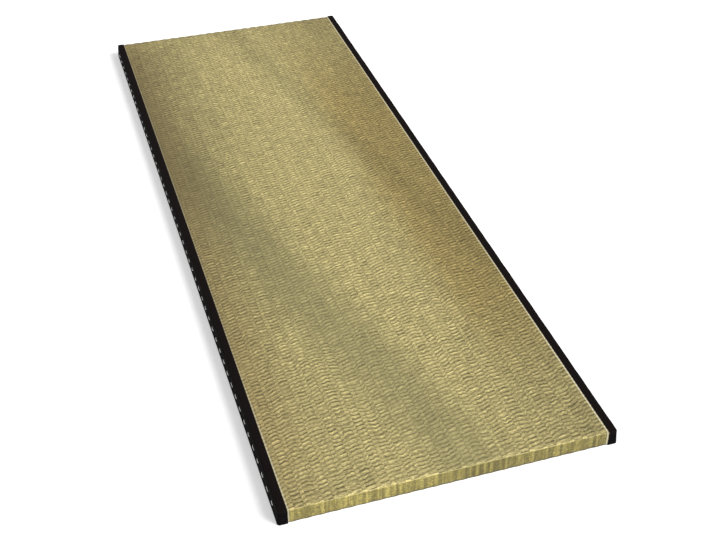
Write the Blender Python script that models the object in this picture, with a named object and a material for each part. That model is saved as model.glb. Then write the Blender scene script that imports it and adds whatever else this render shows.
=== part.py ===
"""Tatami mat: a rush-covered mat with a dark cloth border along each long side.

Metres, +Z up. The origin is the middle of the underside, +Y runs along the
length of the mat and +X across it.
"""
import math

import bmesh
import bpy
from mathutils import Vector

# Overall size of the mat
LENGTH = 2.000            # end to end, along Y
WIDTH = 0.700             # across the foot of the two side walls, along X
THICKNESS = 0.036         # underside to the top of the borders

# The border cloth
CLOTH = 0.0012            # the border's double cloth
GAP = 0.0004              # air between the cloth and the rush-covered body
BORDER_TOP = 0.018        # the border's width on top of the mat
WALL_LEAN = 0.003         # how far each side wall leans in from foot to top

# Rounded edges, measured on the outside of the border cloth
TOP_FOLD = 0.004          # top edges, where rush and cloth fold over
UPRIGHT_CORNER = 0.006    # the four upright corners
FOOT_FOLD = 0.0016        # bottom edges, where the cloth turns under
FOLD_STEPS = 6            # facets round a top fold or an upright corner
FOOT_STEPS = 3            # facets round a bottom edge

# Worked out from the above
SKIN = CLOTH + GAP                                # body surface to cloth surface
HEM_STEP = CLOTH + 2 * GAP                        # room for the hem, under the body
SEAM_X = WIDTH / 2 - WALL_LEAN - BORDER_TOP       # the border's inner edge
END_TURN = 0.0020                                 # rush folded under at each end

RUSH_COLOUR = (0.42, 0.36, 0.17, 1.0)
CLOTH_COLOUR = (0.012, 0.012, 0.016, 1.0)


def clear_scene():
    """Start from an empty scene."""
    for obj in list(bpy.data.objects):
        bpy.data.objects.remove(obj, do_unlink=True)


def make_material(name, colour, roughness, metallic=0.0):
    """A plain Principled material."""
    material = bpy.data.materials.new(name)
    material.use_nodes = True
    shader = material.node_tree.nodes["Principled BSDF"]
    shader.inputs["Base Color"].default_value = colour
    shader.inputs["Roughness"].default_value = roughness
    shader.inputs["Metallic"].default_value = metallic
    return material


def add_object(name, bm, material):
    """Turn a bmesh into a named object and link it to the scene."""
    bmesh.ops.recalc_face_normals(bm, faces=bm.faces)
    mesh = bpy.data.meshes.new(name)
    bm.to_mesh(mesh)
    bm.free()
    mesh.materials.append(material)
    mesh.shade_smooth()
    mesh.set_sharp_from_angle(angle=math.radians(30))
    obj = bpy.data.objects.new(name, mesh)
    bpy.context.collection.objects.link(obj)
    return obj


def extrude_section(section, y_end):
    """A closed X-Z outline, extruded along Y from -y_end to +y_end."""
    bm = bmesh.new()
    verts = [bm.verts.new((x, -y_end, z)) for x, z in section]
    face = bm.faces.new(verts)
    extruded = bmesh.ops.extrude_face_region(bm, geom=[face])
    moved = [v for v in extruded["geom"] if isinstance(v, bmesh.types.BMVert)]
    bmesh.ops.translate(bm, verts=moved, vec=Vector((0.0, 2 * y_end, 0.0)))
    bmesh.ops.recalc_face_normals(bm, faces=bm.faces)
    return bm


def edges_where(bm, test):
    """The edges whose two ends both pass a test on their position."""
    return [e for e in bm.edges if all(test(v.co) for v in e.verts)]


def round_edges(bm, edges, radius, steps):
    """Round edges with a bevel of a given radius."""
    bmesh.ops.bevel(bm, geom=edges, offset=radius, offset_type="OFFSET",
                    affect="EDGES", segments=steps, profile=0.5, clamp_overlap=False)


def round_walls_and_top(bm, inset):
    """Round the four upright corners, then the top edge all the way round."""
    near_top = THICKNESS - inset - 1e-5
    upright = [e for e in bm.edges
               if abs(e.verts[0].co.z - e.verts[1].co.z) > THICKNESS / 2]
    round_edges(bm, upright, UPRIGHT_CORNER - inset, FOLD_STEPS)
    top = next(f for f in bm.faces
               if all(v.co.z > near_top for v in f.verts))
    round_edges(bm, list(top.edges), TOP_FOLD - inset, FOLD_STEPS)


def make_body(material):
    """The filled body, its rush facing folded over both ends.

    Its underside lies on the ground between the two hems. Beside that it steps
    up, to leave room for the cloth that is turned under.
    """
    foot = WIDTH / 2 - SKIN
    shoulder = foot - WALL_LEAN
    step = SEAM_X - GAP
    top = THICKNESS - SKIN
    right = [(step, 0.0), (step, HEM_STEP), (foot, HEM_STEP), (shoulder, top)]
    left = [(-x, z) for x, z in reversed(right)]
    y_end = LENGTH / 2 - SKIN
    bm = extrude_section(right + left, y_end)
    round_walls_and_top(bm, SKIN)
    ends = edges_where(bm, lambda p: p.z < 1e-5 and abs(p.y) > y_end - 1e-5)
    round_edges(bm, [e for e in ends if e.calc_length() > WIDTH / 2],
                END_TURN, FOOT_STEPS)
    return add_object("rush_body", bm, material)


def make_border(name, side, material):
    """One border: a strip on top, the side wall, both end flaps and the hem.

    It is the skin of a whole mat, cut off along the seam and given the
    thickness of the cloth, inwards. side is -1 for left and +1 for right.
    """
    foot = WIDTH / 2
    shoulder = foot - WALL_LEAN
    bm = extrude_section([(-foot, 0.0), (foot, 0.0),
                          (shoulder, THICKNESS), (-shoulder, THICKNESS)], LENGTH / 2)
    round_walls_and_top(bm, 0.0)
    round_edges(bm, edges_where(bm, lambda p: p.z < 1e-5), FOOT_FOLD, FOOT_STEPS)
    bmesh.ops.bisect_plane(bm, geom=list(bm.verts) + list(bm.edges) + list(bm.faces),
                           plane_co=(side * SEAM_X, 0.0, 0.0), plane_no=(side, 0.0, 0.0),
                           clear_inner=True)
    border = add_object(name, bm, material)
    cloth = border.modifiers.new("cloth_thickness", "SOLIDIFY")
    cloth.thickness = CLOTH
    cloth.offset = -1.0
    cloth.use_even_offset = True
    cloth.use_quality_normals = True
    return border


def main():
    clear_scene()
    rush = make_material("rush", RUSH_COLOUR, roughness=0.6)
    cloth = make_material("border_cloth", CLOTH_COLOUR, roughness=0.75)
    make_body(rush)
    make_border("border_left", -1, cloth)
    make_border("border_right", 1, cloth)


main()
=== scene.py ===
# %% [markdown]
# A tatami mat is a stiff slab a few centimetres thick. A facing woven from rush covers
# its top and folds over both ends, and a strip of dark cloth is folded over each long
# side and sewn on. The CAD model gives the slab and the two borders as plain shapes.
# This lesson builds the rush, the cloth and the thread around that model. The main sizes
# are read from it, so that the pieces fit without being nudged.

import math

import bpy
import numpy as np
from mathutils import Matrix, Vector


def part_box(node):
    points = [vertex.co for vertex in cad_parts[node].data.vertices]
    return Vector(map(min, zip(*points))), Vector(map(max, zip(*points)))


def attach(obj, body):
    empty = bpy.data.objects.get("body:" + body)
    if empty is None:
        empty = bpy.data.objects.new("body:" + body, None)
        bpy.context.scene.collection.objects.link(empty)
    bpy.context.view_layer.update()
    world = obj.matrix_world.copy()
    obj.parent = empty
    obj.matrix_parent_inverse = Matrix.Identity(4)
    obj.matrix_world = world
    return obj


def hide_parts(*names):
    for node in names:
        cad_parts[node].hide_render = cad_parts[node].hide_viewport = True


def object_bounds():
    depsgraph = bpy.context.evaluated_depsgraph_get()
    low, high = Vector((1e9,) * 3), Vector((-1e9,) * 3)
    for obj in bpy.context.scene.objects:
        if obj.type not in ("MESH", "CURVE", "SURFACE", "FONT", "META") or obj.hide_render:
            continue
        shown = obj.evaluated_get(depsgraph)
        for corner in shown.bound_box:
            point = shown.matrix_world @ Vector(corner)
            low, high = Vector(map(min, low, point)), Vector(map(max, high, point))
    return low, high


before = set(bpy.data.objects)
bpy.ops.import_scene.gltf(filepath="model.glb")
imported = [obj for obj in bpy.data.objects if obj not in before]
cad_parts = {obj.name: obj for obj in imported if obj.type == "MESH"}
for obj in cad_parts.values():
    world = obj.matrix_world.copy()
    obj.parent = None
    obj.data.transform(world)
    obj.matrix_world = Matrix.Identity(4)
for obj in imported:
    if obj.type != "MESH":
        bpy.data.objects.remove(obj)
cad_low, cad_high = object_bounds()
print("CAD box in metres:", tuple(cad_low), tuple(cad_high))

# %% Measure the CAD model
_, body_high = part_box("rush_body")
_, left_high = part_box("border_left")
HALF_LENGTH = cad_high.y            # to the outside of the cloth at either end
HALF_WIDTH = round(cad_high.x, 3)   # to where a side wall meets the floor, but for its folded foot
THICKNESS = cad_high.z
SEAM = -left_high.x                 # from the middle of the mat to a border's inner edge
BODY_TOP = body_high.z
BODY_END = body_high.y
CLOSE = 1e-5                        # places that differ by less than this are the same
print(f"mat {2 * HALF_LENGTH:.3f} x {2 * HALF_WIDTH:.3f} x {THICKNESS:.3f} m, seams at {SEAM:.3f} m")


# %% [markdown]
# An operator works on everything that is selected, so each step begins by clearing the
# selection and then selects vertices, edges or faces by where they are. Doing that with
# numpy arrays keeps it quick on a mesh of many thousand points.

# %% Helpers for selecting by place
def places(piece):
    """Where a piece's vertices are, one row of x, y, z for each."""
    to_object_mode()
    flat = np.empty(len(piece.data.vertices) * 3, np.float32)
    piece.data.vertices.foreach_get("co", flat)
    return flat.reshape(-1, 3)


def edge_ends(piece):
    """The two end points of every edge, as two arrays of x, y, z."""
    to_object_mode()
    pairs = np.empty(len(piece.data.edges) * 2, np.int32)
    piece.data.edges.foreach_get("vertices", pairs)
    pairs = pairs.reshape(-1, 2)
    where = places(piece)
    return where[pairs[:, 0]], where[pairs[:, 1]]


def edges_where(piece, test):
    """Which edges pass a test at both of their ends."""
    a, b = edge_ends(piece)
    return test(a) & test(b)


def to_object_mode():
    """Leave edit mode, if a piece is open in it."""
    if bpy.context.object and bpy.context.object.mode == "EDIT":
        bpy.ops.object.mode_set(mode="OBJECT")


def deselect_all():
    """Leave nothing selected and no piece active."""
    to_object_mode()
    for other in bpy.context.selected_objects:
        other.select_set(False)
    bpy.context.view_layer.objects.active = None


def only(piece):
    """Make a piece the one that operators work on."""
    deselect_all()
    piece.select_set(True)
    bpy.context.view_layer.objects.active = piece


def pick(piece, kind, chosen):
    """Open a piece in edit mode with just the chosen VERT, EDGE or FACE elements selected."""
    only(piece)
    mesh = piece.data
    bpy.context.tool_settings.mesh_select_mode = [kind == one for one in ("VERT", "EDGE", "FACE")]
    for elements in (mesh.vertices, mesh.edges, mesh.polygons):
        elements.foreach_set("select", np.zeros(len(elements), bool))
    target = {"VERT": mesh.vertices, "EDGE": mesh.edges, "FACE": mesh.polygons}[kind]
    target.foreach_set("select", np.ascontiguousarray(chosen, dtype=bool))
    bpy.ops.object.mode_set(mode="EDIT")


def pick_all(piece):
    """Open a piece in edit mode with everything selected."""
    only(piece)
    bpy.ops.object.mode_set(mode="EDIT")
    bpy.ops.mesh.select_mode(type="VERT")
    bpy.ops.mesh.select_all(action="SELECT")


def move(x=0.0, y=0.0, z=0.0):
    """Move what is selected."""
    bpy.ops.transform.translate(value=(x, y, z))


def extrude(x=0.0, y=0.0, z=0.0):
    """Extrude the selected edges and move the new ones."""
    bpy.ops.mesh.extrude_region_move(TRANSFORM_OT_translate={"value": (x, y, z)})


def triangles_of(piece):
    """How many triangles a piece comes to."""
    return sum(len(polygon.vertices) - 2 for polygon in piece.data.polygons)


# %% [markdown]
# Nothing handmade is quite even. A Displace modifier with a Clouds texture pushes points
# a little one way or the other, smoothly from place to place. An empty that has been
# scaled stretches the clouds along one axis, and a vertex group keeps the push away from
# edges that have to stay where they are.

# %% A helper for smooth unevenness
def unevenness(piece, name, direction, strength, grain, stretch=(1.0, 1.0, 1.0),
               start=(0.0, 0.0, 0.0), group=""):
    """Push a piece's points along X, Y, Z or NORMAL, by up to half the strength either way."""
    clouds = bpy.data.textures.new(name, "CLOUDS")
    clouds.noise_scale = grain
    clouds.noise_depth = 1
    axes = bpy.data.objects.new(name + "_axes", None)
    axes.scale = stretch
    axes.location = start
    bpy.context.scene.collection.objects.link(axes)
    bpy.context.view_layer.update()
    only(piece)
    push = piece.modifiers.new(name, "DISPLACE")
    push.texture = clouds
    push.texture_coords = "OBJECT"
    push.texture_coords_object = axes
    push.direction = direction
    push.strength = strength
    push.mid_level = 0.5
    push.vertex_group = group
    bpy.ops.object.modifier_apply(modifier=push.name)
    bpy.data.objects.remove(axes)
    bpy.data.textures.remove(clouds)


WEIGHT_STEPS = 20


def weights(piece, name, values):
    """Add a vertex group with a weight for each vertex, in even steps."""
    group = piece.vertex_groups.new(name=name)
    steps = np.round(np.clip(values, 0.0, 1.0) * WEIGHT_STEPS).astype(int)
    for step in np.unique(steps[steps > 0]):
        members = np.nonzero(steps == step)[0].tolist()
        group.add(members, float(step) / WEIGHT_STEPS, "REPLACE")
    return group.name


def ramp(values, low, high):
    """0 up to low, 1 from high, and an even slope between."""
    return np.clip((values - low) / (high - low), 0.0, 1.0)


# %% [markdown]
# The rush facing: strong warp threads run the length of the mat in pairs, and each bundle
# of rush crosses over one pair and dives under the next. What shows is a row of ribs with
# a groove between each two, and along each rib short floats of rush side by side. In every
# second rib the floats start a third or two thirds of a float further on.
# It could be made of thousands of separate floats, but the real facing is one skin, so a
# fine grid is shaped instead: three columns of points for each rib and three rows for
# each float. Lowering every third column makes the grooves, and lowering every third row,
# further on in every second rib, makes the creases between floats.

# %% The grid that becomes the facing
RIBS = 48
RIB = 0.01421                       # from groove to groove
FLOATS = 188                        # along one rib, on top
COLUMNS = 3                         # columns of points to a rib
ROWS = 3                            # rows of points to a float
END_RADIUS = 0.0030                 # of the facing's fold over an end
CREST_LIFT = 0.0006                 # a rib's crest stands this far above the plain body
TOP_HALF = BODY_END - END_RADIUS    # where the facing starts to fold over the ends
FLOAT = 2 * TOP_HALF / FLOATS
CREST = BODY_TOP + CREST_LIFT
FACING_HALF = RIBS * RIB / 2

deselect_all()
bpy.ops.mesh.primitive_grid_add(x_subdivisions=COLUMNS * RIBS, y_subdivisions=ROWS * FLOATS,
                                size=1.0, location=(0.0, 0.0, CREST))
rush = bpy.context.object
rush.name = rush.data.name = "rush_mat"
rush.scale = (2 * FACING_HALF, 2 * TOP_HALF, 1.0)
bpy.ops.object.transform_apply(location=True, rotation=True, scale=True)
grid = places(rush)
column = np.rint((grid[:, 0] + FACING_HALF) / (RIB / COLUMNS)).astype(int)
row = np.rint((grid[:, 1] + TOP_HALF) / (FLOAT / ROWS)).astype(int)
print("facing grid:", len(grid), "points,", column.max(), "by", row.max(), "cells, float pitch", FLOAT)

# %% Remember each point's place in the weave, before anything moves
weave = rush.data.attributes.new("weave", "FLOAT_VECTOR", "POINT")
weave.data.foreach_set("vector", (grid * (1.0, 1.0, 0.0)).astype(np.float32).ravel())
print("weave attribute on", len(weave.data), "points")

# %% Grooves between the ribs, and creases between the floats
GROOVE_DEPTH = 0.0004
STRONG_CREASE = 0.0011              # in every second rib the floats are fat and round
WEAK_CREASE = 0.0006
ROW_STEP = 0.0003                   # a faint dip once a float, level with the creases of rib 0
GROOVE_ZIGZAG = 0.0008              # the floats' ends reach past each other
WIDER = 0.18                        # every second rib is wider on each side, by this part of a rib
SLANT = 0.18                        # rise of a float's stalks across its rib

groove = column % COLUMNS == 0
rib_number = np.minimum(column // COLUMNS, RIBS - 1)
later = (rib_number % 2) * (rib_number % 4 + 1) // 2      # rows by which a rib's creases lag
crease = (row - later) % ROWS == 0
pick(rush, "VERT", groove)
move(z=-GROOVE_DEPTH)
for odd, depth in ((0, STRONG_CREASE), (1, WEAK_CREASE)):
    pick(rush, "VERT", crease & ~groove & (rib_number % 2 == odd))
    move(z=-depth)
pick(rush, "VERT", (row % ROWS == 0) & ~crease)
move(z=-ROW_STEP)
inner_groove = groove & (column > 0) & (column < COLUMNS * RIBS)
for side, first in ((-1, 0), (1, COLUMNS)):
    pick(rush, "VERT", inner_groove & (column % (2 * COLUMNS) == first))
    move(x=side * WIDER * RIB)
for odd in (0, 1):
    pick(rush, "VERT", inner_groove & ((row + rib_number) % 2 == odd))
    move(x=GROOVE_ZIGZAG * (1 - 2 * odd))
for third in (1, 2):
    pick(rush, "VERT", (column % COLUMNS == third) & (np.abs(grid[:, 1]) < TOP_HALF - FLOAT))
    move(y=SLANT * RIB * (third / COLUMNS - 0.5))
print("lowered", int(crease.sum()), "crease points")

# %% Rows where the rush was not beaten up tight
GAP_STEP = 0.00018                  # the loosest rows are lowered by four of these
FIRST_GAP = 8                       # rows of points before the first loose row
LAST_GAP = 6                        # and at least this many after the last one
GAP_FADE = 0.06                     # over which a loose row tightens at each of its ends

gap_rng = np.random.default_rng(11)
gap = np.zeros(len(grid))
gap_row = FIRST_GAP
while gap_row < row.max() - LAST_GAP:
    middle = gap_rng.uniform(-0.25, 0.25)
    reach = gap_rng.uniform(0.05, 0.22)
    fade = 1 - ramp(np.abs(grid[:, 0] - middle), reach, reach + GAP_FADE)
    gap = np.maximum(gap, (row == gap_row) * fade * gap_rng.uniform(0.6, 1.0))
    gap_row += int(gap_rng.integers(9, 30))
for share in (0.125, 0.375, 0.625, 0.875):
    pick(rush, "VERT", (gap > share) & (np.abs(grid[:, 0]) < SEAM - 0.01))
    move(z=-GAP_STEP)
to_object_mode()
gap_marks = rush.data.attributes.new("gap", "FLOAT", "POINT")
gap_marks.data.foreach_set("value", gap.astype(np.float32))
print("loose rows cover", round(float((gap > 0.5).mean()) * 100, 1), "% of the facing")

# %% Press the facing down where the borders lie on it
PRESS_DEPTH = 0.0009

pressed = np.abs(grid[:, 0]) > SEAM
pick(rush, "VERT", pressed & ~groove)
move(z=-PRESS_DEPTH)
to_object_mode()
print("pressed", int(pressed.sum()), "points")

# %% Rows that wander, ribs that waver and floats of uneven height
NEAR_END = 0.03                     # the unevenness fades out over this, towards an end
NEAR_SEAM = 0.02                    # and over this, towards a border

inland = (1 - ramp(np.abs(grid[:, 1]), TOP_HALF - NEAR_END, TOP_HALF)) \
    * (1 - ramp(np.abs(grid[:, 0]), SEAM - NEAR_SEAM, SEAM))
open_face = weights(rush, "open_face", inland)
unevenness(rush, "row_drift", "Y", strength=0.014, grain=0.06, stretch=(1.0, 6.0, 1.0),
           group=open_face)
unevenness(rush, "row_ripple", "Y", strength=0.008, grain=0.014, stretch=(1.0, 2.5, 1.0),
           start=(3, 1, 0), group=open_face)
unevenness(rush, "rib_waver", "X", strength=0.0030, grain=0.02, stretch=(1.0, 4.0, 1.0),
           start=(5, 2, 0), group=open_face)
unevenness(rush, "float_height", "Z", strength=0.0012, grain=0.007, start=(2, 7, 0),
           group=open_face)
unevenness(rush, "lie_of_the_mat", "Z", strength=0.0008, grain=0.16, start=(1, 4, 0),
           group=open_face)
print("facing now spans z", places(rush)[:, 2].min(), places(rush)[:, 2].max())

# %% [markdown]
# At each end the facing folds down over the edge and turns under at the foot. Spinning
# the last row of points about a line inside the edge makes the fold, and the lowered
# grooves turn on a smaller circle, so the ribs carry on over the end by themselves.

# %% Fold the facing over both ends
FOOT_RADIUS = 0.0020
END_STEPS = 5                       # rows of faces down an end

end_drop = CREST - END_RADIUS - FOOT_RADIUS
for end in (-1, 1):
    pick(rush, "EDGE", edges_where(rush, lambda point: point[:, 1] * end > TOP_HALF - CLOSE))
    bpy.ops.mesh.spin(steps=4, angle=math.radians(90), axis=(end, 0.0, 0.0),
                      center=(0.0, end * TOP_HALF, CREST - END_RADIUS))
    for step in range(END_STEPS):
        extrude(z=-end_drop / END_STEPS)
    bpy.ops.mesh.spin(steps=2, angle=math.radians(90), axis=(end, 0.0, 0.0),
                      center=(0.0, end * (BODY_END - FOOT_RADIUS), FOOT_RADIUS))
    bpy.ops.transform.resize(value=(1.0, 1.0, 0.0), center_override=(0.0, 0.0, 0.0))
    to_object_mode()
print("with both ends:", len(rush.data.vertices), "points, lowest", places(rush)[:, 2].min())

# %% Close the underside and the two long sides
pick(rush, "EDGE", edges_where(rush, lambda point: point[:, 2] < CLOSE))
bpy.ops.mesh.bridge_edge_loops(number_cuts=11, interpolation="LINEAR", smoothness=0.0)
to_object_mode()
for side in (-1, 1):
    pick(rush, "EDGE", edges_where(rush, lambda point: point[:, 0] * side > FACING_HALF - CLOSE))
    bpy.ops.mesh.edge_face_add()
pick_all(rush)
bpy.ops.mesh.normals_make_consistent(inside=False)
to_object_mode()
print("closed facing:", triangles_of(rush), "triangles")

# %% Step the underside up over the hems, and carry the weave's places round the ends
HEM_ROOM = 0.0022
HEM_GAP = 0.0004                    # the step is drawn in by this as well, clear of the hems

# The mean below takes in points of both sides, so the step ends up 4 mm inside a hem's
# edge, and on the right it leans in as it rises. Both are hidden under the mat.
where = places(rush)
under = where[:, 2] < CLOSE
over_hem = under & (np.abs(where[:, 0]) > SEAM)
for side in (-1, 1):
    first = over_hem & (where[:, 0] * side < SEAM + RIB / COLUMNS)
    pick(rush, "VERT", first & (where[:, 0] * side > 0))
    move(x=-side * (float(np.abs(where[first, 0]).mean()) - SEAM + HEM_GAP))
pick(rush, "VERT", over_hem)
move(z=HEM_ROOM)
to_object_mode()

where = places(rush)
weave = rush.data.attributes["weave"]
spots = np.empty(len(where) * 3, np.float32)
weave.data.foreach_get("vector", spots)
spots = spots.reshape(-1, 3)
beyond = (np.abs(where[:, 1]) > TOP_HALF + CLOSE) & ~under
reach = np.abs(where[:, 1]) + (CREST - where[:, 2])
spots[beyond, 1] = (np.sign(where[:, 1]) * reach)[beyond]
spots[under, 0:2] = where[under, 0:2]
weave.data.foreach_set("vector", spots.ravel())
only(rush)
bpy.ops.object.shade_smooth_by_angle(angle=math.radians(60))
print("weave runs from", spots[:, 1].min(), "to", spots[:, 1].max())

# %% [markdown]
# Each border is one long strip of stiff black cloth. It lies on the top of the mat, folds
# down over the side and round both upright corners, and turns under at the foot. A box of
# the right size is rounded with bevels and the face towards the mat is taken away. Cuts
# right through it give it points to bend at, and later on Solidify gives the open skin
# the thickness of the cloth.

# %% Build both borders
CLOTH = 0.0012
UPRIGHT_RADIUS = 0.006
TOP_FOLD = 0.003
FOOT_FOLD = 0.0016
WALL_LEAN = 0.003
LOWEST_CUT = 0.005                  # the first of the level cuts through the wall
CUT_UP = 0.0045                     # from one of them to the next
CUT_ALONG = 0.0062                  # from one crosswise cut to the next
END_CUT = 0.008                     # from an end to the nearest of those
TOP_CUTS = (0.004, 0.009)           # lengthwise cuts in the top, from the seam


def bevel(piece, chosen, radius, steps):
    """Round the chosen edges."""
    pick(piece, "EDGE", chosen)
    bpy.ops.mesh.bevel(offset_type="OFFSET", offset=radius, segments=steps, profile=0.5,
                       affect="EDGES", clamp_overlap=False)
    to_object_mode()


def cut(place, normal):
    """Cut the piece in edit mode right through along a plane, keeping both halves."""
    bpy.ops.mesh.select_all(action="SELECT")
    bpy.ops.mesh.bisect(plane_co=place, plane_no=normal)


def make_border(name, side):
    """A border's cloth, from a box. side is -1 for the left of the mat and 1 for the right."""
    deselect_all()
    bpy.ops.mesh.primitive_cube_add(
        size=1.0, location=(side * (SEAM + HALF_WIDTH) / 2, 0.0, THICKNESS / 2),
        scale=(HALF_WIDTH - SEAM, 2 * HALF_LENGTH, THICKNESS))
    border = bpy.context.object
    border.name = border.data.name = name
    bpy.ops.object.transform_apply(location=True, rotation=True, scale=True)

    where = places(border)
    outer = where[:, 0] * side > (SEAM + HALF_WIDTH) / 2
    pick(border, "VERT", outer & (where[:, 2] > THICKNESS / 2))
    move(x=-side * WALL_LEAN)
    to_object_mode()

    def outside(point):
        return point[:, 0] * side > SEAM + CLOSE

    a, b = edge_ends(border)
    upright = np.abs(a[:, 2] - b[:, 2]) > THICKNESS / 2
    bevel(border, upright & outside(a) & outside(b), UPRIGHT_RADIUS, steps=6)
    a, b = edge_ends(border)
    top = (a[:, 2] > THICKNESS - CLOSE) & (b[:, 2] > THICKNESS - CLOSE)
    bevel(border, top & (outside(a) | outside(b)), TOP_FOLD, steps=5)
    a, b = edge_ends(border)
    foot = (a[:, 2] < CLOSE) & (b[:, 2] < CLOSE)
    bevel(border, foot & (outside(a) | outside(b)), FOOT_FOLD, steps=3)

    centres = np.array([polygon.center for polygon in border.data.polygons])
    pick(border, "FACE", centres[:, 0] * side < SEAM + CLOSE)
    bpy.ops.mesh.delete(type="FACE")
    to_object_mode()

    pick_all(border)
    for height in np.arange(LOWEST_CUT, THICKNESS - TOP_FOLD, CUT_UP):
        cut((0.0, 0.0, float(height)), (0.0, 0.0, 1.0))
    for across in TOP_CUTS:
        cut((side * (SEAM + across), 0.0, 0.0), (1.0, 0.0, 0.0))
    last_cut = HALF_LENGTH - END_CUT
    for along in np.arange(-last_cut, last_cut + CLOSE, CUT_ALONG):
        cut((0.0, float(along), 0.0), (0.0, 1.0, 0.0))
    bpy.ops.mesh.select_all(action="SELECT")
    bpy.ops.mesh.remove_doubles(threshold=0.0001)
    bpy.ops.mesh.normals_make_consistent(inside=False)
    to_object_mode()
    return border


borders = {}
for name, side in (("border_cloth_left", -1), ("border_cloth_right", 1)):
    borders[side] = make_border(name, side)
    print(name, len(borders[side].data.polygons), "faces before the cloth has thickness")

# %% [markdown]
# The thread that holds the cloth pulls it in a little at every stitch, and stiff cloth
# folded over an edge is never quite flat. Both show as soft dents along the side, and the
# unevenness is left out at the foot, which stands on the floor.

# %% Dents at the stitches, slack in the cloth, and its thickness
STITCH_PITCH = 0.0383
STITCH_START = -0.956               # how far along the mat the first stitch lies
STITCH_END = 0.980                  # and a limit for the last one
STITCH_HEIGHT = 0.0160
DENT_DEPTH = 0.0008
DENT_LENGTH = 0.010                 # from a stitch to where its dent has faded, along the side
DENT_HEIGHT = 0.008                 # and up the side
SLACK = 0.0010
EDGE_ROUNDING = 0.00045             # of the cloth's own edges

stitch_places = np.arange(STITCH_START, STITCH_END, STITCH_PITCH)

for side, border in borders.items():
    # Each point's place on the cloth laid flat, so that its weave runs on round the folds
    where = places(border)
    cloth = border.data.attributes.new("cloth", "FLOAT_VECTOR", "POINT")
    on_wall = ramp(np.abs(where[:, 0]), HALF_WIDTH - 0.008, HALF_WIDTH - 0.004)
    on_end = ramp(np.abs(where[:, 1]), HALF_LENGTH - 0.004, HALF_LENGTH - 0.001)
    spots = np.stack([np.abs(where[:, 0]) - where[:, 2] * on_wall,
                      where[:, 1] - np.sign(where[:, 1]) * where[:, 2] * on_end,
                      np.zeros(len(where))], 1)
    cloth.data.foreach_set("vector", spots.astype(np.float32).ravel())

    # The thread pulls the wall in, and leaves the top strip alone
    nearest = np.abs(where[:, 1][:, None] - stitch_places[None, :]).min(1)
    height = where[:, 2] - STITCH_HEIGHT
    wall = ramp(where[:, 0] * side, SEAM + 0.015, SEAM + 0.017)
    dent = np.exp(-(nearest / DENT_LENGTH) ** 2 - (height / DENT_HEIGHT) ** 2) * wall
    dents = weights(border, "dents", dent)
    only(border)
    pull = border.modifiers.new("thread_pull", "DISPLACE")
    pull.direction = "X"
    pull.strength = -side * DENT_DEPTH
    pull.mid_level = 0.0
    pull.vertex_group = dents
    bpy.ops.object.modifier_apply(modifier=pull.name)

    slack = weights(border, "slack", ramp(where[:, 2], 0.002, 0.010))
    unevenness(border, "slack", "NORMAL", strength=SLACK, grain=0.022, stretch=(1.0, 1.6, 1.0),
               start=(side, 3, 0), group=slack)
    bpy.ops.object.shade_smooth_by_angle(angle=math.radians(40))
    solid = border.modifiers.new("cloth_thickness", "SOLIDIFY")
    solid.thickness = CLOTH
    solid.offset = -1.0
    solid.use_even_offset = False
    bpy.ops.object.modifier_apply(modifier=solid.name)
    fold = border.modifiers.new("folded_edge", "BEVEL")
    fold.width = EDGE_ROUNDING
    fold.segments = 2
    fold.limit_method = "ANGLE"
    fold.angle_limit = math.radians(60)
    bpy.ops.object.modifier_apply(modifier=fold.name)
    print(border.name, triangles_of(border), "triangles, lowest", places(border)[:, 2].min())

# %% [markdown]
# White cotton thread shows low on each side, a short dash at a time, and the rest of it
# runs inside the mat. One dash is modelled, from a cylinder that is cut into lengths and
# bent. It is copied along the side, each copy with its own mesh, and the copies of one
# side are joined into one piece.

# %% One stitch
DASH = 0.0145                       # length of a stitch
THREAD_RADIUS = 0.00125
PROUD = 0.0006                      # the middle of a stitch bows out by this
SUNK = 0.0008                       # a stitch is placed this far inside the wall's face


def strand(name, length, radius, proud):
    """A strand of thread along Y that bows outwards, along X, by a given amount."""
    deselect_all()
    bpy.ops.mesh.primitive_cylinder_add(vertices=6, radius=radius, depth=length,
                                        rotation=(math.radians(90), 0.0, 0.0))
    piece = bpy.context.object
    piece.name = piece.data.name = name
    bpy.ops.object.transform_apply(location=True, rotation=True, scale=True)
    pick_all(piece)
    for share in (-0.42, -0.28, -0.1, 0.1, 0.28, 0.42):
        cut((0.0, share * length, 0.0), (0.0, 1.0, 0.0))
    to_object_mode()
    # Each ring of points: its place from the middle, its width and how far it is lifted
    rings = ((0.5, 0.45, -0.9), (0.42, 0.8, 0.0), (0.28, 1.0, 0.75), (0.1, 1.05, 1.0))
    for share, width, lift in rings:
        for end in (-1, 1):
            where = places(piece)
            pick(piece, "VERT", np.abs(where[:, 1] - end * share * length) < CLOSE)
            bpy.ops.transform.resize(value=(width, 1.0, width), center_override=(0.0, 0.0, 0.0))
            move(x=proud * lift)
            to_object_mode()
    only(piece)
    bpy.ops.object.shade_smooth_by_angle(angle=math.radians(60))
    return piece


dash = strand("dash", DASH, THREAD_RADIUS, PROUD)
print("one stitch:", triangles_of(dash), "triangles")

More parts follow.
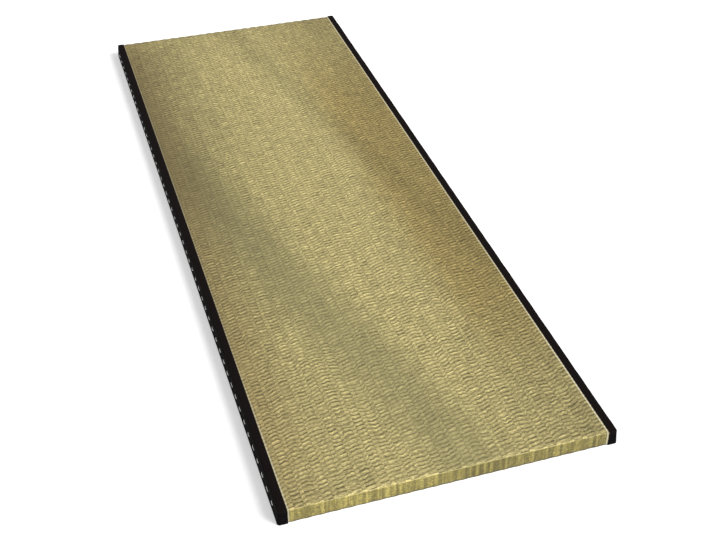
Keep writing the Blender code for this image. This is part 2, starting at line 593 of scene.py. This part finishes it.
# %% Copy the stitch along both sides
jitter = np.random.default_rng(5)
stitches = {}
for side, label in ((-1, "left"), (1, "right")):
    copies = []
    for number, along in enumerate(stitch_places):
        height = STITCH_HEIGHT + float(jitter.uniform(-0.0008, 0.0008))
        wall = HALF_WIDTH - WALL_LEAN * height / THICKNESS
        copy = dash.copy()
        copy.data = dash.data.copy()
        copy.name = f"dash_{label}_{number}"
        bpy.context.scene.collection.objects.link(copy)
        along += float(jitter.uniform(-0.0015, 0.0015))
        copy.location = (side * (wall - SUNK), along, height)
        copy.rotation_euler = (float(jitter.uniform(0.06, 0.24)), 0.0, 0.0)
        thick = float(jitter.uniform(0.85, 1.15))
        copy.scale = (side * thick, float(jitter.uniform(0.85, 1.1)), thick)
        copies.append(copy)
    deselect_all()
    for copy in copies:
        copy.select_set(True)
    bpy.context.view_layer.objects.active = copies[0]
    bpy.ops.object.transform_apply(location=True, rotation=True, scale=True)
    bpy.ops.object.join()
    sewn = bpy.context.object
    sewn.name = sewn.data.name = "stitches_" + label
    pick_all(sewn)
    bpy.ops.mesh.normals_make_consistent(inside=False)
    to_object_mode()
    stitches[side] = sewn
    print(sewn.name, len(stitch_places), "stitches,", triangles_of(sewn), "triangles")
bpy.data.objects.remove(dash)


# %% [markdown]
# Materials are sums and products of a few patterns. Written with Math nodes one by one
# they are hard to read, so a small class wraps a node's output and lets Python's own
# operators add the Math nodes. Its node method adds every other kind of node.

# %% The class that turns expressions into nodes
class Wire:
    """An output of a shader node. Arithmetic on it adds Math nodes to its material."""

    def __init__(self, tree, socket=None):
        self.tree = tree
        self.socket = socket

    def node(self, kind, settings=None, values=None, output=0):
        """Add any node: its type, its settings, then its inputs' values or links."""
        made = self.tree.nodes.new("ShaderNode" + kind)
        for key, value in (settings or {}).items():
            if key == "stops":
                stops = made.color_ramp.elements
                while len(stops) < len(value):
                    stops.new(0.5)
                for stop, (position, colour) in zip(stops, value):
                    stop.position = position
                    stop.color = colour
            else:
                setattr(made, key, value)
        for key, value in (values or {}).items():
            if isinstance(value, Wire):
                self.tree.links.new(value.socket, made.inputs[key])
            else:
                made.inputs[key].default_value = value
        return Wire(self.tree, made.outputs[output])

    def math(self, operation, *values):
        return self.node("Math", {"operation": operation}, dict(enumerate(values)))

    def __add__(self, other):
        return self.math("ADD", self, other)

    def __radd__(self, other):
        return self.math("ADD", other, self)

    def __sub__(self, other):
        return self.math("SUBTRACT", self, other)

    def __rsub__(self, other):
        return self.math("SUBTRACT", other, self)

    def __mul__(self, other):
        return self.math("MULTIPLY", self, other)

    def __rmul__(self, other):
        return self.math("MULTIPLY", other, self)

    def __truediv__(self, other):
        return self.math("DIVIDE", self, other)

    def __mod__(self, other):
        return self.math("FLOORED_MODULO", self, other)

    def __pow__(self, other):
        return self.math("POWER", self, other)

    def __neg__(self):
        return self.math("MULTIPLY", self, -1.0)

    def __abs__(self):
        return self.math("ABSOLUTE", self)

    def floor(self):
        return self.math("FLOOR", self)

    def slope(self, low, high, start=0.0, stop=1.0):
        """start up to low, stop from high, and a smooth step between."""
        return self.node("MapRange", {"interpolation_type": "SMOOTHSTEP"},
                         {"Value": self, "From Min": low, "From Max": high,
                          "To Min": start, "To Max": stop})

    def mound(self, centre, width):
        """1 at the centre, falling smoothly to 0 at a width away on either side."""
        return abs(self - centre).slope(0.0, width, 1.0, 0.0)


def blend(factor, first, second, kind="MIX"):
    """Mix two colours. A Wire is linked and a tuple is a fixed colour."""
    origin = next(value for value in (factor, first, second) if isinstance(value, Wire))
    return origin.node("Mix", {"data_type": "RGBA", "blend_type": kind},
                       {0: factor, 6: first, 7: second}, output=2)


def xyz(wire):
    """The three parts of a vector."""
    split = wire.node("SeparateXYZ", values={0: wire}).socket.node
    return [Wire(wire.tree, part) for part in split.outputs]


def vector(x, y, z=0.0):
    """A vector from three values, of which the first is a Wire."""
    return x.node("CombineXYZ", values={0: x, 1: y, 2: z})


def noise(place, scale, detail=2.0, roughness=0.5):
    """Soft noise, 0 to 1, about 0.5 in the middle."""
    return place.node("TexNoise", {"noise_dimensions": "3D"},
                      {"Vector": place, "Scale": scale, "Detail": detail, "Roughness": roughness})


def new_finish(name):
    """A new material: its Principled shader and a Wire to start from."""
    material = bpy.data.materials.new(name)
    material.use_nodes = True
    return material, material.node_tree.nodes["Principled BSDF"], Wire(material.node_tree)


def plug(wire, shader, socket):
    """Link a Wire to one of a shader's inputs."""
    wire.tree.links.new(wire.socket, shader.inputs[socket])


print("shader helpers are ready")

# %% [markdown]
# Rush is pale straw yellow with a breath of green. A mat is woven from stalks of many
# ages, so its colour changes from stalk to stalk, from float to float and along each rib,
# and in broad bands of colour across the whole mat. Painted shade lies along oblique bands
# and falls off towards both sides. The patterns are worked out at each point's place in the
# weave, u across and v along the mat. A tint gives the colour and a tone, multiplied in at
# the end, how light it is, with painted highlights and painted shade in it.

# %% The rush finish
STRAW = (0.480, 0.405, 0.172, 1.0)
GREEN = (0.385, 0.336, 0.147, 1.0)
BROWN = (0.405, 0.303, 0.103, 1.0)
RUSTY = (0.430, 0.333, 0.137, 1.0)
ENDS = (0.430, 0.356, 0.086, 1.0)
PALE = (0.82, 0.75, 0.52, 1.0)

# How far each pattern changes the tone, painted highlights and painted shade among them
GREEN_SHADE = 0.10
BROWN_SHADE = 0.15
STALK_SPREAD = 1.60
FLOAT_SPREAD = 0.16
RIB_SPREAD = 0.22
CREASE_SHADE = 0.60
GROOVE_SHADE = 0.06
LOOSE_SHADE = 0.15
BACK_LIGHT = 0.85
END_GROOVE_SHADE = 0.15
END_STRIPE_SHADE = 0.52
END_MIDDLE_SHADE = 0.22
NEAR_FOLD_LIGHT = 0.80
FAR_FOLD_SHADE = 0.30
FOOT_SHADOW_TONE = 0.25

rush_finish, shader, start = new_finish("rush_weave")
u, v, _ = xyz(start.node("Attribute", {"attribute_name": "weave"}, output="Vector"))
px, py, pz = xyz(start.node("TexCoord", output="Object"))

# Which float a point is on
rib_u = u / RIB + RIBS / 2
rib = rib_u.floor()
across = rib_u - rib                                   # 0 to 1 from groove to groove
lag = (rib % 2.0) * (rib % 4.0 + 1.0) / (2.0 * ROWS)
wave = noise(vector(u, v), scale=70.0, detail=1.0) - 0.5
slanted = v - (across - 0.5) * (SLANT * RIB)
float_v = (slanted + TOP_HALF) / FLOAT - lag + 0.5 * wave
number = float_v.floor()
along = float_v - number                               # 0 to 1 from crease to crease
dice, dice_light, dice_dark = xyz(start.node("TexWhiteNoise", {"noise_dimensions": "2D"},
                                             {"Vector": vector(rib, number)}, output="Color"))
from_crest = abs(across - 0.5) * 2.0                   # 0 on a rib's crest, 1 in a groove
near_crease = abs(along - 0.5) * 2.0                   # 0 in a float's middle, 1 in a crease
strong = 1.0 - 0.40 * (rib % 2.0)
on_top = abs(v).slope(TOP_HALF, TOP_HALF + 0.004, 1.0, 0.0)

# Broad bands: green from the left side to the near end, rusty along the left side, and
# brown towards the right with a darker line in it. That line is painted shade, and the
# green band carries painted shade as well as its greener tint
drift = noise(vector(u, v * 0.35), scale=5.0) - 0.5
green_band_and_shade = (u + 0.275 * v + 0.05 * drift).mound(-0.234, 0.13)
rusty = u.slope(-0.345, -0.20, 1.0, 0.0) * v.slope(-1.0, -0.7, 0.5, 1.0)
brown = (u + 0.04 * v + 0.06 * drift).slope(0.11, 0.22) * v.slope(-0.9, -0.45)
brown = brown * v.slope(0.35, 1.0, 1.0, 0.15)
painted_shade_line = (u + 0.24 * v + 0.04 * drift).mound(0.235, 0.060) * v.slope(-0.6, -0.3)
tint = blend(green_band_and_shade, STRAW, GREEN)
tint = blend(rusty * 0.9, tint, RUSTY)
tint = blend(brown * 0.85, tint, BROWN)

# Painted shade: the tone falls off towards both sides, and it is a little lower at the far end
left_painted_shade = u.slope(-0.40, -0.03, 0.55, 0.0) * v.slope(-1.0, 0.3, 0.32, 1.0)
left_painted_shade = left_painted_shade * v.slope(0.84, 1.0, 1.0, 0.6)
right_painted_shade = u.slope(0.04, 0.37, 0.0, 0.29)
tone = (1.0 - left_painted_shade) * (1.0 - right_painted_shade)
# Painted shade along the dark line and across the green band
tone = tone * (1.0 - BROWN_SHADE * painted_shade_line) * (1.0 - GREEN_SHADE * green_band_and_shade)
tone = tone * v.slope(0.82, 0.98, 1.0, 0.92)

# What changes from stalk to stalk, from float to float and along a rib
streak = noise(vector(u * 0.40, slanted, rib * 0.31), scale=300.0, roughness=0.6) - 0.5
stalk = noise(vector(u * 0.45, slanted), scale=480.0, detail=1.0) - 0.5
rib_tone = noise(vector(rib * 0.37, v * 3.0), scale=1.0, detail=1.0) - 0.5
calm = 1.0 - 0.35 * green_band_and_shade
spread = STALK_SPREAD * calm
tone = tone * (1.0 + FLOAT_SPREAD * (dice - 0.5)) * (1.0 + spread * streak) * (1.0 + spread * stalk)
tone = tone * (1.0 + RIB_SPREAD * rib_tone)

# Painted highlight along each float's back, and painted shade in the creases between floats, in the
# grooves between ribs and along the loose rows
back_painted_highlight = along.mound(0.55, 0.22) * from_crest.slope(0.5, 1.1, 1.0, 0.0) * on_top
crease_painted_shade = near_crease.slope(0.35, 1.0) * strong * on_top * (0.45 + 0.75 * dice_dark)
groove_painted_shade = from_crest.slope(0.65, 1.0)
loose = start.node("Attribute", {"attribute_name": "gap"}, output="Fac")
tone = tone * (1.0 - CREASE_SHADE * calm * crease_painted_shade) * (1.0 - GROOVE_SHADE * groove_painted_shade)
tone = tone * (1.0 - LOOSE_SHADE * loose)
tone = tone * (1.0 + BACK_LIGHT * calm * back_painted_highlight * dice_light * strong)

# The folded ends: striped, yellower and a little darker in the middle, with painted shade
# in the grooves, a painted contact shadow at the foot, a painted highlight along the near
# fold and painted shade along the far one
near_fold_painted_highlight = (-v - TOP_HALF).mound(0.0010, 0.0055)
far_fold_painted_shade = (v - TOP_HALF).mound(-0.0030, 0.0070)
fold_highlight_noise = noise(vector(u, v), scale=60.0, detail=3.0, roughness=0.7).slope(0.35, 0.60)
stripe = noise(vector(u, v * 0.04), scale=95.0, detail=3.0, roughness=0.7).slope(0.35, 0.62)
end_face = abs(v).slope(TOP_HALF + 0.002, TOP_HALF + 0.006)
end_groove_painted_shade = end_face * from_crest.slope(0.35, 0.95)
end_stripe = end_face * stripe
end_middle = end_face * u.mound(0.10, 0.32)
foot_painted_shadow = pz.slope(0.0010, 0.0060, FOOT_SHADOW_TONE, 1.0)
tone = tone * (1.0 - END_GROOVE_SHADE * end_groove_painted_shade) * (1.0 - END_STRIPE_SHADE * end_stripe)
tone = tone * (1.0 - END_MIDDLE_SHADE * end_middle) * foot_painted_shadow
tone = tone * (1.0 + NEAR_FOLD_LIGHT * near_fold_painted_highlight * fold_highlight_noise) * (1.0 - FAR_FOLD_SHADE * far_fold_painted_shade)
tint = blend(end_face * 0.8, tint, ENDS)
colour = blend(1.0, tint, tone, "MULTIPLY")

# A painted highlight: a narrow pale line just inside each border, brightest at the right
# and near the front. The underside has none.
pale_line_strength = px.slope(-0.1, 0.1, 0.0, 0.65) + py.slope(-0.9, -0.5, 0.60, 0.20)
edge = (abs(px) - SEAM + 0.0016).mound(0.0, 0.0030) * pale_line_strength * pz.slope(0.0020, 0.0040)
colour = blend(edge, colour, PALE)

height = stalk * 0.0005 + streak * 0.0008 - near_crease ** 2.0 * 0.0008 * on_top
bump = start.node("Bump", values={"Strength": 1.0, "Distance": 1.0, "Height": height})
plug(colour, shader, "Base Color")
plug(0.52 + 0.16 * streak + 0.10 * from_crest, shader, "Roughness")
plug(bump, shader, "Normal")
shader.inputs["Specular IOR Level"].default_value = 0.30
rush.data.materials.clear()
rush.data.materials.append(rush_finish)
print("rush finish:", len(rush_finish.node_tree.nodes), "nodes")

# %% [markdown]
# The border cloth is a plain weave dyed nearly black. It is matt, with a little dust, and
# painted sheen makes it a shade lighter on top and over its fold. Its threads run along and across the
# strip.

# %% The cloth finish
THREAD = 0.0011                     # from thread to thread
BLACK = (0.0020, 0.0018, 0.0022, 1.0)
DUST_AND_SHEEN_BLACK = (0.0105, 0.0072, 0.0072, 1.0)

cloth_finish, shader, start = new_finish("black_cloth")
u, v, _ = xyz(start.node("Attribute", {"attribute_name": "cloth"}, output="Vector"))
world = start.node("TexCoord", output="Object")
_, _, pz = xyz(world)
warp = abs((u / THREAD) % 1.0 - 0.5) * 2.0
weft = abs((v / THREAD) % 1.0 - 0.5) * 2.0
over = ((u / THREAD).floor() + (v / THREAD).floor()) % 2.0
threads = (1.0 - warp ** 2.0) * over + (1.0 - weft ** 2.0) * (1.0 - over)
dust = noise(world, scale=38.0, detail=3.0, roughness=0.6)
# Painted sheen makes the top and its fold a shade lighter, and dust lightens the cloth here and there
top_sheen = pz.slope(THICKNESS - 0.006, THICKNESS - 0.001)
tint = blend(top_sheen * 0.6 + dust * 0.3, BLACK, DUST_AND_SHEEN_BLACK)
height = threads * 0.00016 + dust * 0.0004
bump = start.node("Bump", values={"Strength": 0.8, "Distance": 1.0, "Height": height})
plug(blend(1.0, tint, 0.75 + 0.5 * threads, "MULTIPLY"), shader, "Base Color")
plug(0.86 + 0.1 * (dust - 0.5), shader, "Roughness")
plug(bump, shader, "Normal")
shader.inputs["Specular IOR Level"].default_value = 0.02
shader.inputs["Sheen Weight"].default_value = 0.01
shader.inputs["Sheen Roughness"].default_value = 0.5
for border in borders.values():
    border.data.materials.clear()
    border.data.materials.append(cloth_finish)
print("cloth finish:", len(cloth_finish.node_tree.nodes), "nodes")

# %% The thread finish
TWIST = 0.0009                      # from turn to turn
WHITE = (0.86, 0.85, 0.82, 1.0)
GRIMY_WHITE = (0.66, 0.65, 0.62, 1.0)

thread_finish, shader, start = new_finish("white_thread")
world = start.node("TexCoord", output="Object")
_, py, pz = xyz(world)
turns = abs(((py * 0.8 + pz) / TWIST) % 1.0 - 0.5) * 2.0
grime = noise(world, scale=60.0)
bump = start.node("Bump", values={"Strength": 0.7, "Distance": 1.0, "Height": turns * 0.0002})
plug(blend(grime * 0.6, WHITE, GRIMY_WHITE), shader, "Base Color")
plug(0.75 + 0.1 * grime, shader, "Roughness")
plug(bump, shader, "Normal")
shader.inputs["Specular IOR Level"].default_value = 0.3
for sewn in stitches.values():
    sewn.data.materials.clear()
    sewn.data.materials.append(thread_finish)
print("thread finish:", len(thread_finish.node_tree.nodes), "nodes")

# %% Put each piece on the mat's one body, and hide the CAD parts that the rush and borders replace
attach(rush, "root")
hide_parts("rush_body")
# A border's cloth laid flat is 18 mm of top, 36 mm of wall and 21 mm of hem in width, and
# longer than the mat by what hangs down and turns under at both ends.
for side, label in ((-1, "left"), (1, "right")):
    border = borders[side]
    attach(border, "root")
    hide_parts("border_" + label)
    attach(stitches[side], "root")
print("pieces declared")

# %% [markdown]
# The mat lies on a white floor under soft light. A broad sun low on the right throws one
# soft shadow to the left, and an even white sky fills the rest.

# %% Floor and light
deselect_all()
bpy.ops.mesh.primitive_plane_add(size=30.0, location=(0.0, 0.0, 0.0))
floor = bpy.context.object
floor.name = floor.data.name = "floor"
floor_finish, shader, start = new_finish("white_floor")
shader.inputs["Base Color"].default_value = (0.93, 0.93, 0.93, 1.0)
shader.inputs["Roughness"].default_value = 1.0
shader.inputs["Specular IOR Level"].default_value = 0.0
shader.inputs["Emission Color"].default_value = (1.0, 1.0, 1.0, 1.0)
shader.inputs["Emission Strength"].default_value = 0.35
floor.data.materials.append(floor_finish)

sky = bpy.data.worlds.new("white_sky")
sky.use_nodes = True
background = sky.node_tree.nodes["Background"]
background.inputs["Color"].default_value = (1.0, 1.0, 1.0, 1.0)
background.inputs["Strength"].default_value = 0.45
bpy.context.scene.world = sky

SUN_FROM = (0.72, -0.62, 0.72)
sun_data = bpy.data.lights.new("soft_sun", "SUN")
sun_data.energy = 3.15
sun_data.angle = math.radians(34)
sun = bpy.data.objects.new("soft_sun", sun_data)
bpy.context.scene.collection.objects.link(sun)
azimuth = math.atan2(SUN_FROM[1], SUN_FROM[0])
flat_reach = math.hypot(SUN_FROM[0], SUN_FROM[1])
sun.rotation_euler = (0.0, math.atan2(flat_reach, SUN_FROM[2]), azimuth)
bpy.context.scene.view_settings.view_transform = "Standard"
print("floor and light are in place")

# %% Camera
camera_data = bpy.data.cameras.new("camera")
camera_data.lens = 60.58
camera_data.sensor_width = 36.0
camera_data.shift_x = -0.0250
camera = bpy.data.objects.new("camera", camera_data)
camera.location = (-0.6441, -2.4810, 1.7256)
camera.rotation_euler = (math.radians(53.012), math.radians(-0.0999), math.radians(-18.0688))
bpy.context.scene.collection.objects.link(camera)
bpy.context.scene.camera = camera
print("camera at", tuple(camera.location))
